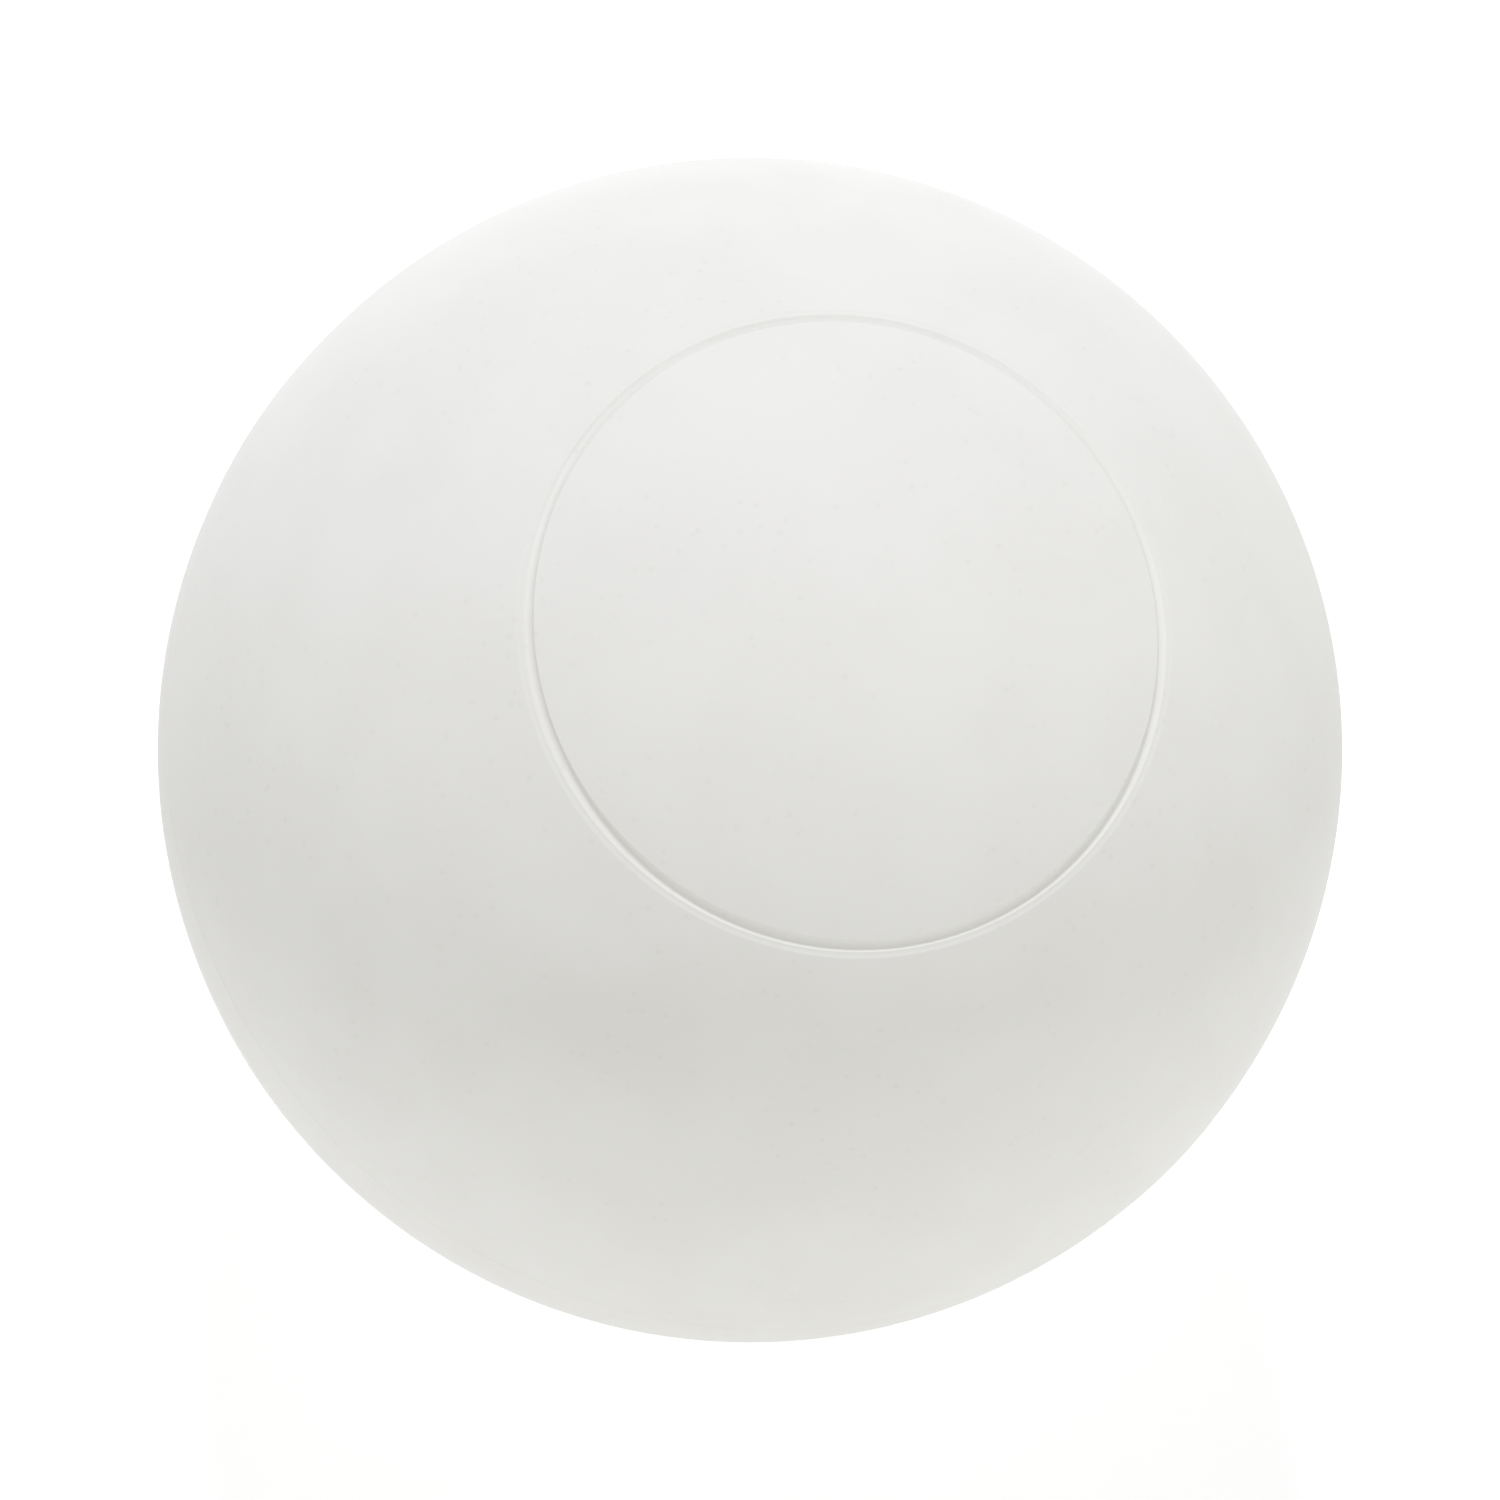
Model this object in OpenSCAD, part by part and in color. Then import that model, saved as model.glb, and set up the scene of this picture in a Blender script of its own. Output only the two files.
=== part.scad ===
// Lacrosse ball: one solid moulding of white rubber.
// A ring groove bounds a smooth round field that lies a hair lower than the
// ball around it. A soft shoulder outside the groove makes up the difference,
// and a faint raised line runs where the mould halves met.
// Millimetres. The origin is the centre of the ball. +Z comes out through the
// middle of the ring, so the mould halves met in the plane z = 0.

/* [Ball] */
// Diameter of the ball; the rules of the game allow 62.7 to 64.7
ball_d = 63.5; // [50:0.1:80]

/* [Ring groove] */
// Diameter of the ring, across the middle of its groove
ring_d = 33.8; // [16:0.1:42]
// Width of the groove, measured on the round of the ball
groove_w = 0.68; // [0.4:0.02:1.2]
// Depth of the groove below the round of the ball
groove_depth = 0.24; // [0.14:0.01:0.34]

/* [Field inside the ring] */
// How much lower the field lies than the round of the ball
field_drop = 0.06; // [0.02:0.01:0.1]
// Width of the shoulder, from the groove's outer edge out to the full round
shoulder_w = 0.3; // [0.1:0.02:0.8]

/* [Parting line] */
// Width of the raised line left between the mould halves
seam_w = 0.4; // [0.2:0.05:1]
// Height of that line above the surface of the ball
seam_h = 0.03; // [0.01:0.01:0.1]

/* [Hidden] */
ball_r = ball_d / 2;
// How far a cutting shape runs past what it trims
overrun = 1;
// Angles of the groove's middle and of its outer edge, seen from the centre of the ball
ring_angle = asin(ring_d / ball_d);
edge_angle = ring_angle + asin(groove_w / ball_d);
// Fineness of the long and the short arcs
ball_fn = 256;
small_fn = 96;

// How far the round surface falls away over half of a chord of this width
function drop(wide) = ball_r - sqrt(pow(ball_r, 2) - pow(wide / 2, 2));

// Radius of the arc with this chord and this height over the chord
function arc_r(wide, rise) = (pow(wide / 2, 2) + pow(rise, 2)) / (2 * rise);

// Disc that sinks a dish of this width and depth into the ball at an angle off the axis
module sunk_disc(angle, wide, deep) {
    r = arc_r(wide, deep - drop(wide));
    rotate(-angle) translate([0, ball_r - deep + r]) circle(r = r, $fn = small_fn);
}

// Disc that stands proud of the ball by a bead of this width and height, at an angle off the axis
module proud_disc(angle, wide, high) {
    r = arc_r(wide, high + drop(wide));
    rotate(-angle) translate([0, ball_r + high - r]) circle(r = r, $fn = small_fn);
}

// Everything above the lowered field, from the axis to the middle of the groove
module above_field() {
    reach = ball_r + overrun;
    difference() {
        polygon([[0, 0], [reach * tan(ring_angle), reach], [0, reach]]);
        circle(r = ball_r - field_drop, $fn = ball_fn);
    }
}

// Everything to the right of the axis, where a revolved outline has to lie
module right_of_axis() {
    reach = ball_r + seam_h + overrun;
    translate([0, -reach]) square([reach, 2 * reach]);
}

// Outline of the ball from pole to pole
module ball_section() {
    intersection() {
        difference() {
            union() {
                circle(r = ball_r, $fn = ball_fn);
                proud_disc(90, seam_w, seam_h);
            }
            above_field();
            sunk_disc(ring_angle, groove_w, groove_depth);
            // The outer half of this dish is the shoulder; its inner half lies over the groove and the field
            sunk_disc(edge_angle, 2 * shoulder_w, field_drop);
        }
        right_of_axis();
    }
}

module ball() {
    color("whitesmoke") rotate_extrude($fn = ball_fn) ball_section();
}

ball();
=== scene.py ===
# %% [markdown]
# A lacrosse ball is one solid moulding of white rubber. It looks like the
# easiest object there is, and that is why it is a good lesson: with so little
# to look at, the outline, the fine ring groove, the skin of the rubber and the
# light have to carry the picture.
#
# The first cell loads the measured model of the ball. Nothing here moves or
# resizes it. It gives the size and the place for everything that follows.

# %% Load the measured ball
import math

import bpy
from mathutils import Matrix, Vector


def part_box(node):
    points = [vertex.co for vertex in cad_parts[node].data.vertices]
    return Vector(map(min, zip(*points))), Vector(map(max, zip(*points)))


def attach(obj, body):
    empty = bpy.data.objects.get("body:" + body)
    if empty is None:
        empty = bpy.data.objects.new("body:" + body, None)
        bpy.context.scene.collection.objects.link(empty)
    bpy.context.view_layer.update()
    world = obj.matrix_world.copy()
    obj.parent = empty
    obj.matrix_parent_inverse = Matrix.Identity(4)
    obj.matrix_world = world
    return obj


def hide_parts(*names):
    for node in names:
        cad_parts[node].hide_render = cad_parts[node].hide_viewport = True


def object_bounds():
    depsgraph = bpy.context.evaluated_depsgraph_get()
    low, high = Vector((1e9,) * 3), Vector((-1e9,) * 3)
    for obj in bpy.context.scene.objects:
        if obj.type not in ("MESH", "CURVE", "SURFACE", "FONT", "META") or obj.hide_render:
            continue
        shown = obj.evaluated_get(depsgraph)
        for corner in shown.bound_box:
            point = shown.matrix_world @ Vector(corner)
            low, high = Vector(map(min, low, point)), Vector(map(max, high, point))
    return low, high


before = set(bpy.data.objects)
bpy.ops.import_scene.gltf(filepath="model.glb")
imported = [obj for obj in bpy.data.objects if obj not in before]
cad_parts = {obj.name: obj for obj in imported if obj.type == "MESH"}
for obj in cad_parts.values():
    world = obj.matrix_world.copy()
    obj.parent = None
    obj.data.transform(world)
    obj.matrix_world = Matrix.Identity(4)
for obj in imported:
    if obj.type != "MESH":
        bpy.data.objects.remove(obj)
measured_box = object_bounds()
for end, corner in zip(("lowest", "highest"), measured_box):
    print(f"{end} corner at {corner.x:.4f}, {corner.y:.4f}, {corner.z:.4f} m")

# %% [markdown]
# The ball's radius comes from the measured model. It is taken at the bottom,
# because the ball is a hair wider along its moulding line and a hair lower in
# the field at its top. The ring, its groove, the field and the line can't be
# read off the model's box, so their sizes are repeated here. Lengths are in
# metres, and a millimetre gets a name of its own.

# %% Sizes of the ball
MM = 0.001
BALL_R = -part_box("ball")[0].z
RING_D = 33.8 * MM
GROOVE_W = 0.68 * MM
GROOVE_DEPTH = 0.24 * MM
FIELD_DROP = 0.06 * MM
SHOULDER_W = 0.3 * MM
SEAM_W = 0.4 * MM
SEAM_H = 0.03 * MM
RING_ANGLE = math.asin(RING_D / 2 / BALL_R)
EDGE_ANGLE = RING_ANGLE + math.asin(GROOVE_W / 2 / BALL_R)
SEAM_ANGLE = math.pi / 2
print(f"the ball is {2 * BALL_R / MM:.2f} mm across")
print(f"the ring runs {math.degrees(RING_ANGLE):.2f} degrees off the ball's axis")

# %% [markdown]
# The picture was taken from far off, and almost from above the ring. A camera
# could be placed by eye, but a circle on a ball gives its own viewpoint: the
# shape of the ring in the picture says how far its axis leans from the
# camera's (TILT), and the place of its middle says how far the camera was
# turned (ROLL). The lens then follows from the size of the ball's outline.

# %% Camera
PICTURE_PX = 1500
OUTLINE_R_PX = 592.4
CAMERA_FAR = 30 * BALL_R
TILT = math.radians(17.3)
ROLL = math.radians(38.9)
SENSOR = 36

camera_data = bpy.data.cameras.new("camera")
camera = bpy.data.objects.new("camera", camera_data)
bpy.context.scene.collection.objects.link(camera)
bpy.context.scene.camera = camera
camera_turn = Matrix.Rotation(TILT, 3, "X") @ Matrix.Rotation(ROLL, 3, "Z")
camera.location = camera_turn @ Vector((0, 0, CAMERA_FAR))
camera.rotation_euler = camera_turn.to_euler()
outline_slope = 1 / math.sqrt((CAMERA_FAR / BALL_R) ** 2 - 1)
camera_data.sensor_width = SENSOR
camera_data.lens = SENSOR * OUTLINE_R_PX / PICTURE_PX / outline_slope
print(f"lens {camera_data.lens:.0f} mm, {CAMERA_FAR:.3f} m from the middle of the ball")

# %% [markdown]
# Two helpers serve the modelling. An operator works on everything that is
# selected, so a piece starts with nothing selected. Points are then picked in
# code, by where they are, as a hand would pick them with the mouse.

# %% Helpers for modelling
def start_clean():
    """Leaves nothing selected and no object in edit mode."""
    if bpy.context.object and bpy.context.object.mode != "OBJECT":
        bpy.ops.object.mode_set(mode="OBJECT")
    bpy.ops.object.select_all(action="DESELECT")


def pick_points(piece, wanted):
    """Selects, in edit mode, the points of the piece whose place passes the test."""
    bpy.ops.object.mode_set(mode="EDIT")
    bpy.ops.mesh.select_mode(type="VERT")
    bpy.ops.mesh.select_all(action="DESELECT")
    bpy.ops.object.mode_set(mode="OBJECT")
    for vertex in piece.data.vertices:
        vertex.select = wanted(vertex.co)
    bpy.ops.object.mode_set(mode="EDIT")


def off_axis(point):
    """Angle of a point off the +Z axis, seen from the middle of the ball."""
    return math.atan2(math.hypot(point.x, point.y), point.z)


# %% [markdown]
# The surface of the ball is a lathe form: one outline, the same all the way
# round. A ready-made sphere with some rows pushed in would also do, but its
# rows are evenly spaced, and the groove is a hundred times finer than the
# ball. So the outline is drawn first, as a turner draws a section, with its
# points close together where it is fine, and then it is spun.
#
# The outline starts as an upright circle, and its left half is deleted.

# %% Half a circle
CIRCLE_POINTS = 240

start_clean()
upright = (math.pi / 2, 0, 0)
bpy.ops.mesh.primitive_circle_add(vertices=CIRCLE_POINTS, radius=BALL_R, rotation=upright)
ball = bpy.context.object
ball.name = "moulded_ball"
bpy.ops.object.transform_apply(location=False, rotation=True, scale=False)
nearly_on_axis = BALL_R * math.sin(math.pi / CIRCLE_POINTS)
pick_points(ball, lambda point: point.x < -nearly_on_axis)
bpy.ops.mesh.delete(type="VERT")
bpy.ops.object.mode_set(mode="OBJECT")
print("the outline starts with", len(ball.data.vertices), "points")

# %% [markdown]
# The edges near the groove and near the moulding line are cut in three. Of the
# short edges this makes, the nearer ones are cut again, until they are a few
# hundredths of a millimetre long. Cutting in steps keeps the count low, and it
# ends the fine rows on plain round surface: a wide row beside a sharp lip
# would be shaded as if it were part of the lip. Only edges with both ends
# picked are cut, so each test reaches one edge further than what has to be fine.

# %% Close rows where the outline is fine
FINE_ROW = 0.04 * MM
MARGIN = 0.12 * MM
CUTS = 2


def refine(middle_angle, half_width):
    """Cuts the edges near this angle shorter and shorter, out to half_width along the surface."""
    row = 2 * math.pi * BALL_R / CIRCLE_POINTS
    while row > FINE_ROW:
        reach = (half_width + MARGIN + row) / BALL_R
        pick_points(ball, lambda point: abs(off_axis(point) - middle_angle) < reach)
        bpy.ops.mesh.subdivide(number_cuts=CUTS)
        bpy.ops.object.mode_set(mode="OBJECT")
        row = row / (CUTS + 1)
    print(f"rows {row / MM:.3f} mm apart at {math.degrees(middle_angle):.1f} degrees off the axis")


refine(RING_ANGLE + SHOULDER_W / 2 / BALL_R, GROOVE_W / 2 + SHOULDER_W / 2)
refine(SEAM_ANGLE, SEAM_W / 2)
print("the outline now has", len(ball.data.vertices), "points")

# %% [markdown]
# The groove is pressed in by a rounded rib in the mould, so its section is
# part of a circle. Inside the ring lies the field, a round a hair smaller than
# the ball, and outside it a shoulder rises to the full round, along half of a
# wide, flat circle. The moulding line is the top of a third circle that stands
# proud. These functions give how far from the middle of the ball such a circle
# lies, at any angle off its own middle.

# %% Circles of the section
def arc_r(wide, rise):
    """Radius of the circle whose arc has this chord and this height over it."""
    return ((wide / 2) ** 2 + rise ** 2) / (2 * rise)


def drop(wide):
    """How far the ball's surface falls away over half of this width."""
    return BALL_R - math.sqrt(BALL_R ** 2 - (wide / 2) ** 2)


def sunk(angle, wide, deep):
    """Distance to the bottom of a dish of this width and depth, `angle` off its middle."""
    r = arc_r(wide, deep - drop(wide))
    far = BALL_R - deep + r
    inside = r ** 2 - (far * math.sin(angle)) ** 2
    return far * math.cos(angle) - math.sqrt(inside) if inside > 0 else 2 * BALL_R


def proud(angle, wide, high):
    """Distance to the top of a bead of this width and height, `angle` off its middle."""
    r = arc_r(wide, high + drop(wide))
    far = BALL_R + high - r
    inside = r ** 2 - (far * math.sin(angle)) ** 2
    return far * math.cos(angle) + math.sqrt(inside) if inside > 0 else 0


rib_r = arc_r(GROOVE_W, GROOVE_DEPTH - drop(GROOVE_W))
print(f"the groove's circle has a radius of {rib_r / MM:.2f} mm")

# %% [markdown]
# Where the groove cuts the field and the shoulder, and where the shoulder
# reaches the round, there would be a knife edge. Cured rubber has none, so
# soft_min rounds each lip over a few hundredths of a millimetre, and the
# shallow one at the round over less. A Bevel would do that too, but it would
# need a flat width at each lip. The second function, outline_r, gives how far
# from the middle of the ball each point of the outline belongs.

# %% The section as a rule
LIP = 0.05 * MM
SHALLOW_LIP = LIP / 2


def soft_min(a, b, blend):
    """The smaller of the two, rounded off where they differ by less than blend."""
    near = max(blend - abs(a - b), 0) / blend
    # Where the two are equal, the curve passes a quarter of blend below them
    return min(a, b) - near ** 2 * blend / 4


def outline_r(angle):
    """Distance of the outline from the middle of the ball, at this angle off the axis."""
    field = BALL_R - FIELD_DROP
    shoulder = sunk(angle - EDGE_ANGLE, 2 * SHOULDER_W, FIELD_DROP)
    r = max(BALL_R, proud(angle - SEAM_ANGLE, SEAM_W, SEAM_H))
    r = soft_min(r, field if angle < EDGE_ANGLE else shoulder, SHALLOW_LIP)
    return soft_min(r, sunk(angle - RING_ANGLE, GROOVE_W, GROOVE_DEPTH), LIP)


print(f"the field lies {(BALL_R - outline_r(0)) / MM:.3f} mm below the round of the ball")
print(f"the groove lies {(BALL_R - outline_r(RING_ANGLE)) / MM:.3f} mm below it")

# %% [markdown]
# Each point of the outline is now drawn towards the middle of the ball, or
# away from it, until it is at its own distance. Scaling about the middle of
# the ball does exactly that. The cut edges were straight, so this also brings
# their points out onto the round.

# %% Draw the outline to its section
def draw_to_section(index):
    """Scales one point of the outline about the middle of the ball."""
    point = ball.data.vertices[index].co.copy()
    factor = outline_r(off_axis(point)) / point.length
    pick_points(ball, lambda other: (other - point).length == 0)
    bpy.ops.transform.resize(value=(factor, factor, factor), center_override=(0, 0, 0))
    bpy.ops.object.mode_set(mode="OBJECT")


for index in range(len(ball.data.vertices)):
    draw_to_section(index)
depths = [BALL_R - vertex.co.length for vertex in ball.data.vertices]
print(f"outline between {min(depths) / MM:.3f} and {max(depths) / MM:.3f} mm below the round")

# %% [markdown]
# Spin turns the outline once round the axis. The first and last copies fall
# together, and so do all the copies of the two end points, so doubles are
# merged to close the skin, and the faces are then turned to look outwards.

# %% Spin it
SPIN_STEPS = 384
MERGE = 0.001 * MM

bpy.ops.object.mode_set(mode="EDIT")
bpy.ops.mesh.select_all(action="SELECT")
bpy.ops.mesh.spin(steps=SPIN_STEPS, angle=2 * math.pi, center=(0, 0, 0), axis=(0, 0, 1))
bpy.ops.mesh.select_all(action="SELECT")
bpy.ops.mesh.remove_doubles(threshold=MERGE)
bpy.ops.mesh.normals_make_consistent(inside=False)
bpy.ops.object.mode_set(mode="OBJECT")
bpy.ops.object.shade_smooth()
triangles = sum(len(face.vertices) - 2 for face in ball.data.polygons)
print(f"the ball has {triangles} triangles")

# %% [markdown]
# Shader maths reads best as plain expressions. This small class wraps one
# output of a node, so that `0.5 * grain + 0.1` adds the Math nodes by itself.
# Every other node comes from the one method `node`.

# %% Helpers for materials
class Value:
    """One output of a shader node, used in sums like a number."""

    def __init__(self, tree, socket=None):
        self.tree = tree
        self.socket = socket

    def node(self, kind, settings=None, inputs=None, output=0):
        """Adds a node of this kind, with its settings first and then its inputs."""
        made = self.tree.nodes.new(kind)
        for name, setting in (settings or {}).items():
            setattr(made, name, setting)
        for name, value in (inputs or {}).items():
            if isinstance(value, Value):
                self.tree.links.new(value.socket, made.inputs[name])
            else:
                made.inputs[name].default_value = value
        return Value(self.tree, made.outputs[output] if made.outputs else None)

    def maths(self, operation, a, b):
        """A Math node on two values."""
        return self.node("ShaderNodeMath", {"operation": operation}, {0: a, 1: b})

    def __add__(self, other):
        return self.maths("ADD", self, other)

    def __sub__(self, other):
        return self.maths("SUBTRACT", self, other)

    def __rsub__(self, other):
        return self.maths("SUBTRACT", other, self)

    def __mul__(self, other):
        return self.maths("MULTIPLY", self, other)

    __radd__ = __add__
    __rmul__ = __mul__

    def step(self, low, high):
        """0 at low and 1 at high, smooth between them and level beyond."""
        settings = {"interpolation_type": "SMOOTHSTEP"}
        inputs = {"Value": self, "From Min": low, "From Max": high}
        return self.node("ShaderNodeMapRange", settings, inputs)


def new_tree(holder):
    """Empties the node tree of a material or a world, ready for its first node."""
    holder.use_nodes = True
    holder.node_tree.nodes.clear()
    return Value(holder.node_tree)


# %% [markdown]
# White rubber is a body colour of fine white pigment under a dull skin. Seen
# close, the skin isn't even. The pigment lies in faint clouds, the mould's own
# grain is pressed into it, and here and there air has left a pit.
# None of these is a picture wrapped round the ball. They are solid patterns,
# read at the place of each point in the rubber, so they fit without a seam.
#
# The pits come from scattered points, about a millimetre apart. A point
# shows only where it lies just under the skin, and a deeper one shows smaller,
# so the pits are few and of many sizes, as real ones are. They gather where
# the clouds are. The grain makes their edges ragged, and they are a little
# darker: partly a trace of dust, partly painted shade for the hollow of a pit.

# %% Colours and patterns of the rubber
RUBBER = (0.805, 0.799, 0.760, 1)
RUBBER_CLOUD = (0.788, 0.781, 0.741, 1)
# Pit colour: a trace of dust, and painted shade for the pit's hollow
PIT_DUST_AND_SHADE = (0.735, 0.727, 0.682, 1)
CLOUD = 7 * MM
CLOUD_DETAIL = 3
CLOUD_FROM = 0.35
CLOUD_TO = 0.65
GRAIN = 0.35 * MM
GRAIN_DETAIL = 2
GRAIN_DEPTH = 0.0006 * MM
PIT_GAP = 1.0 * MM
PIT_R = 0.35 * MM
PIT_RAGGED = 0.18 * MM
PIT_DEPTH = 0.008 * MM
DULL = 0.70
LESS_DULL = 0.62
GLEAM = 0.3


def pattern(shade, place, size, detail):
    """Noise whose lumps are about this size, from 0 to 1."""
    inputs = {"Vector": place, "Scale": 1 / size, "Detail": detail}
    return shade.node("ShaderNodeTexNoise", {}, inputs)


def mixed(shade, factor, a, b):
    """A colour between a, where the factor is 0, and b, where it is 1."""
    inputs = {"Factor": factor, "A": a, "B": b}
    return shade.node("ShaderNodeMix", {"data_type": "RGBA"}, inputs, "Result")


print(f"clouds of about {CLOUD / MM:.0f} mm and a grain of about {GRAIN / MM:.2f} mm")
print(f"pits up to {2 * PIT_R / MM:.1f} mm across")

# %% [markdown]
# The material follows that description. The patterns come first, each from 0
# to 1. Then they mix the colours, and last they shape the skin. Its height is
# written in metres, so the distance that the Bump node scales it by is 1.

# %% White rubber
BUMP_SCALE = 1


def rubber_material():
    """The dull white skin of the ball."""
    material = bpy.data.materials.new("white_rubber")
    shade = new_tree(material)
    place = shade.node("ShaderNodeTexCoord", output="Object")
    cloud = pattern(shade, place, CLOUD, CLOUD_DETAIL).step(CLOUD_FROM, CLOUD_TO)
    grain = pattern(shade, place, GRAIN, GRAIN_DETAIL)
    scatter = {"Vector": place, "Scale": 1 / PIT_GAP}
    point_far = shade.node("ShaderNodeTexVoronoi", {}, scatter, "Distance")
    pit = cloud * (1 - (PIT_GAP * point_far + PIT_RAGGED * grain).step(0, PIT_R))
    clean = mixed(shade, cloud, RUBBER, RUBBER_CLOUD)
    # The pits are darker: partly dust, partly painted shade in the hollow
    colour = mixed(shade, pit, clean, PIT_DUST_AND_SHADE)
    height = GRAIN_DEPTH * grain - PIT_DEPTH * pit
    skin = shade.node("ShaderNodeBump", {}, {"Distance": BUMP_SCALE, "Height": height})
    dullness = DULL - (DULL - LESS_DULL) * cloud
    surface = shade.node(
        "ShaderNodeBsdfPrincipled",
        {},
        {"Base Color": colour, "Roughness": dullness, "Specular IOR Level": GLEAM, "Normal": skin},
    )
    shade.node("ShaderNodeOutputMaterial", {}, {"Surface": surface})
    return material


start_clean()
ball.data.materials.append(rubber_material())
print("the rubber has", len(ball.data.materials[0].node_tree.nodes), "nodes")

# %% [markdown]
# The ball lies on a white table that glows a little, as a photographer's light
# table does, and that is what lights its lower side. Close to the ball the
# lens sees mostly the real surface, so the ball keeps its soft shadow there.
# Further off, plain white takes over, so that the table ends in no horizon. A
# glow of strength 1 is exactly white to the lens.

# %% Light table
TABLE_SIDE = 6
TABLE_COLOUR = (0.9, 0.9, 0.9, 1)
TABLE_GLOW = 0.32
WHITE = (1, 1, 1, 1)
PLAIN_WHITE = 1
WHITE_NEAR = 0.2
SHADOW_END = 1.3 * BALL_R
FADE_END = 3.5 * BALL_R


def seen(shade):
    """1 for a ray from the lens, a gloss or glass, and 0 for light that is scattered."""
    camera_ray = shade.node("ShaderNodeLightPath", output="Is Camera Ray")
    glossy_ray = shade.node("ShaderNodeLightPath", output="Is Glossy Ray")
    clear_ray = shade.node("ShaderNodeLightPath", output="Is Transmission Ray")
    return shade.maths("MAXIMUM", camera_ray, shade.maths("MAXIMUM", glossy_ray, clear_ray))


def table_material():
    """A glowing white surface that looks plain white from further off."""
    material = bpy.data.materials.new("light_table")
    shade = new_tree(material)
    place = shade.node("ShaderNodeTexCoord", output="Object")
    away = shade.node("ShaderNodeVectorMath", {"operation": "LENGTH"}, {0: place}, output="Value")
    whiteness = WHITE_NEAR + (1 - WHITE_NEAR) * away.step(SHADOW_END, FADE_END)
    lit = shade.node("ShaderNodeBsdfDiffuse", {}, {"Color": TABLE_COLOUR})
    glow = shade.node("ShaderNodeEmission", {}, {"Color": WHITE, "Strength": TABLE_GLOW})
    real = shade.node("ShaderNodeAddShader", {}, {0: lit, 1: glow})
    plain = shade.node("ShaderNodeEmission", {}, {"Color": WHITE, "Strength": PLAIN_WHITE})
    looks_plain = seen(shade) * whiteness
    surface = shade.node("ShaderNodeMixShader", {}, {0: looks_plain, 1: real, 2: plain})
    shade.node("ShaderNodeOutputMaterial", {}, {"Surface": surface})
    material.cycles.emission_sampling = "NONE"
    return material


start_clean()
bpy.ops.mesh.primitive_plane_add(size=TABLE_SIDE, location=(0, 0, -BALL_R))
table = bpy.context.object
table.name = "light_table"
table.data.materials.append(table_material())
print(f"the table lies {BALL_R / MM:.2f} mm below the middle of the ball")

# %% [markdown]
# The room is white too. It is plain white to the lens and in a gloss, but the
# light that it gives is only a part of that, because a room that shines from
# all sides would wash out the shading that makes a ball look round.

# %% Room
ROOM_GLOW = 0.4


def make_room():
    """White to look at, and a weak light from all sides."""
    room = bpy.data.worlds.new("room")
    shade = new_tree(room)
    light = shade.node("ShaderNodeBackground", {}, {"Color": WHITE, "Strength": ROOM_GLOW})
    plain = shade.node("ShaderNodeBackground", {}, {"Color": WHITE, "Strength": PLAIN_WHITE})
    surface = shade.node("ShaderNodeMixShader", {}, {0: seen(shade), 1: light, 2: plain})
    shade.node("ShaderNodeOutputWorld", {}, {"Surface": surface})
    room.cycles.sampling_method = "NONE"
    return room


bpy.context.scene.world = make_room()
print(f"the room shines at {ROOM_GLOW:.0%} of the white that the lens sees")

# %% [markdown]
# The shading of the photo tells where its lamps stood. The ball is brightest
# near its top, and darkest in a band almost halfway from its middle down to its
# lower edge, so the main lamp is high over the picture and well forward. Its
# light ends in that band quite quickly, so it is a small lamp. Two wide, weak
# ones fill in: one a little below the lens, and one far over on the right.
#
# A lamp's place is given as the photographer sees it: how far round the
# picture, counted from its right over its top, and how far off the line from
# the ball to the lens.

# %% Lamps
LAMP_FAR = 0.8
DAYLIGHT = (0.917, 0.926, 1)
PLAIN_LIGHT = (1, 1, 1)


def lamp(name, round_picture, off_lens, wide, power, colour):
    """A round lamp, aimed at the middle of the ball."""
    data = bpy.data.lights.new(name, "AREA")
    data.shape = "DISK"
    data.size = wide
    data.energy = power
    data.color = colour
    made = bpy.data.objects.new(name, data)
    bpy.context.scene.collection.objects.link(made)
    turn = math.radians(round_picture)
    lean = math.radians(off_lens)
    across = math.sin(lean)
    towards = Vector((across * math.cos(turn), across * math.sin(turn), math.cos(lean)))
    towards = camera_turn @ towards
    made.location = LAMP_FAR * towards
    made.rotation_euler = towards.to_track_quat("Z", "Y").to_euler()
    made.visible_camera = False
    print(f"{name} stands {(made.location.z + BALL_R):.2f} m above the table")


lamp("main_lamp", round_picture=91, off_lens=61, wide=0.15, power=3.53, colour=DAYLIGHT)
lamp("front_lamp", round_picture=279, off_lens=28, wide=0.5, power=2.0, colour=PLAIN_LIGHT)
lamp("right_lamp", round_picture=0, off_lens=85, wide=0.5, power=0.96, colour=PLAIN_LIGHT)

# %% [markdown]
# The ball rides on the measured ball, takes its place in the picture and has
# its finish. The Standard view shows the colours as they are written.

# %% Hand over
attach(ball, "root")
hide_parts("ball")
bpy.context.scene.view_settings.view_transform = "Standard"
print(f"{ball.name} has {len(ball.data.vertices)} points and the finish white_rubber")
